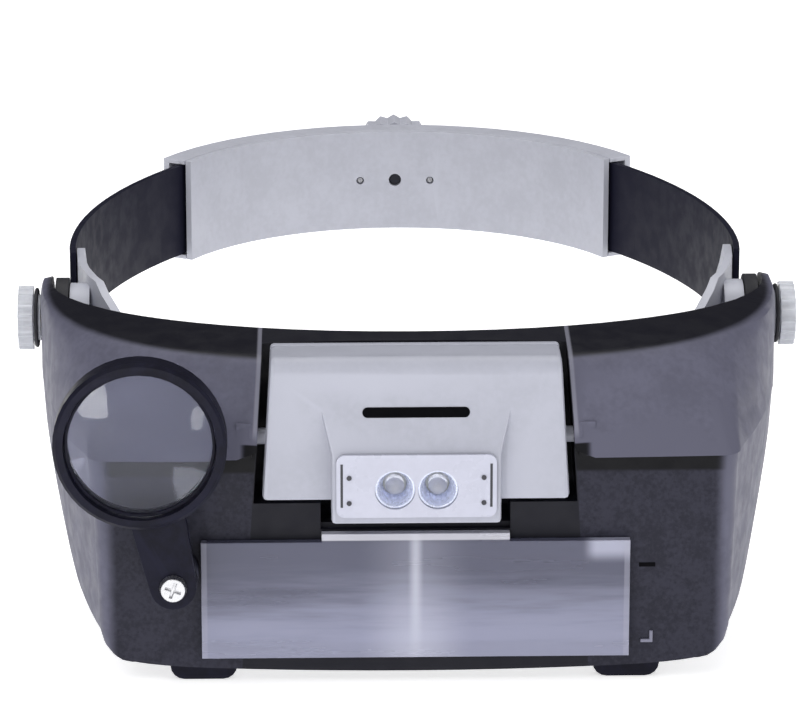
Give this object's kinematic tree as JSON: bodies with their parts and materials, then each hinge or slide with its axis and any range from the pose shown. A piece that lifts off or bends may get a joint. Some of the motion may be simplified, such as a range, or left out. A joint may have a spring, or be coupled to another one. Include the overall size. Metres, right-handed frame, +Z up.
{
  "type": "head visor magnifier",
  "caption": "Head visor magnifier: a tilting grey visor with a clear rectangular lens, a flip-down lens, a swing loupe and a lamp case on an adjustable head ring.",
  "frame": {"origin": "middle of the head opening, level with the two side pivots", "axes": "+X to the right as seen from in front, -Y forwards (the way the wearer looks), +Z up as worn"},
  "size_m": [0.2024, 0.2664, 0.0876],
  "materials": {
    "visor_plastic": "moulded, lightly grained, semi-matte",
    "strap_plastic": "flexible moulded plastic",
    "pale_plastic": "moulded, satin",
    "bezel_plastic": "smooth, slightly glossy",
    "black_rubber": "matt rubber",
    "black_plastic": "moulded, matt",
    "loupe_plastic": "smooth moulded",
    "knob_plastic": "pale translucent, ribbed",
    "clear_acrylic": "polished clear acrylic",
    "led_resin": "clear cast resin",
    "steel": "plated steel",
    "brass": "machined",
    "chrome": "bright metallised",
    "foam": "cloth-faced foam",
    "board_white": "coated circuit board",
    "cell_jacket": "plain shrink sleeve on a steel can"
  },
  "bodies": {
    "headband": {"front_band": "pale_plastic", "brow_pad": "foam", "strap_left": "strap_plastic", "strap_right": "strap_plastic", "strap_rivet_left_front": "steel", "strap_rivet_left_rear": "steel", "strap_rivet_right_front": "steel", "strap_rivet_right_rear": "steel", "pivot_bolt_left": "steel", "pivot_bolt_right": "steel", "friction_washer_left": "black_rubber", "friction_washer_right": "black_rubber"},
    "visor": {"visor_shell": "visor_plastic", "main_lens": "clear_acrylic", "loupe_screw": "steel"},
    "left_clamp": {"knob_left": "knob_plastic", "knob_nut_left": "brass"},
    "right_clamp": {"knob_right": "knob_plastic", "knob_nut_right": "brass"},
    "flip": {"flip_frame": "loupe_plastic", "flip_lens": "clear_acrylic"},
    "loupe": {"loupe_frame": "loupe_plastic", "loupe_lens": "clear_acrylic", "loupe_retainer": "loupe_plastic"},
    "lamp": {"lamp_case": "pale_plastic", "case_back": "pale_plastic", "case_screw_left": "steel", "case_screw_right": "steel", "lamp_bezel": "bezel_plastic", "circuit_board": "board_white", "reflector_left": "chrome", "reflector_right": "chrome", "led_left": "led_resin", "led_right": "led_resin", "battery_upper": "cell_jacket", "battery_lower": "cell_jacket", "battery_contact_left": "steel", "battery_contact_right": "steel", "switch_body": "black_plastic"},
    "switch": {"switch_slider": "black_plastic"},
    "rear": {"rear_cover_inner": "pale_plastic", "rear_cover_outer": "pale_plastic", "rear_screw_left": "steel", "rear_screw_right": "steel"},
    "adjuster": {"size_knob": "pale_plastic", "pinion": "black_plastic", "pinion_screw": "steel"}
  },
  "joints": [
    {"name": "visor_tilt", "type": "hinge", "parent": "headband", "child": "visor", "pos_m": [0, -0.0405, 0], "axis": [-1, 0, 0], "range_deg": [-10, 70]},
    {"name": "left_clamp_turn", "type": "hinge", "parent": "headband", "child": "left_clamp", "pos_m": [-0.1, -0.0405, 0], "axis": [-1, 0, 0], "range_deg": [0, 360]},
    {"name": "right_clamp_turn", "type": "hinge", "parent": "headband", "child": "right_clamp", "pos_m": [0.1, -0.0405, 0], "axis": [1, 0, 0], "range_deg": [0, 360]},
    {"name": "flip_fold", "type": "hinge", "parent": "visor", "child": "flip", "pos_m": [0, -0.1226, -0.032], "axis": [1, 0, 0], "range_deg": [0, 60]},
    {"name": "loupe_swing", "type": "hinge", "parent": "visor", "child": "loupe", "pos_m": [-0.059, -0.1394, -0.0392], "axis": [0, 1, 0], "range_deg": [0, 103]},
    {"name": "lamp_tilt", "type": "hinge", "parent": "visor", "child": "lamp", "pos_m": [0, -0.125, -0.006], "axis": [1, 0, 0], "range_deg": [-8, 0]},
    {"name": "switch_slide", "type": "slide", "parent": "lamp", "child": "switch", "axis": [1, 0, 0], "range_m": [0, 0.003]},
    {"name": "band_size", "type": "slide", "parent": "headband", "child": "rear", "axis": [0, 1, 0], "range_m": [-0.01, 0.008], "deforming": ["strap_left", "strap_right"]},
    {"name": "adjuster_turn", "type": "hinge", "parent": "rear", "child": "adjuster", "pos_m": [0, 0.108, 0], "axis": [0, 1, 0], "range_deg": [-120, 150]}
  ],
  "couplings": [
    {"joint": "adjuster_turn", "follows": "band_size", "rad_per_m": -250}
  ]
}
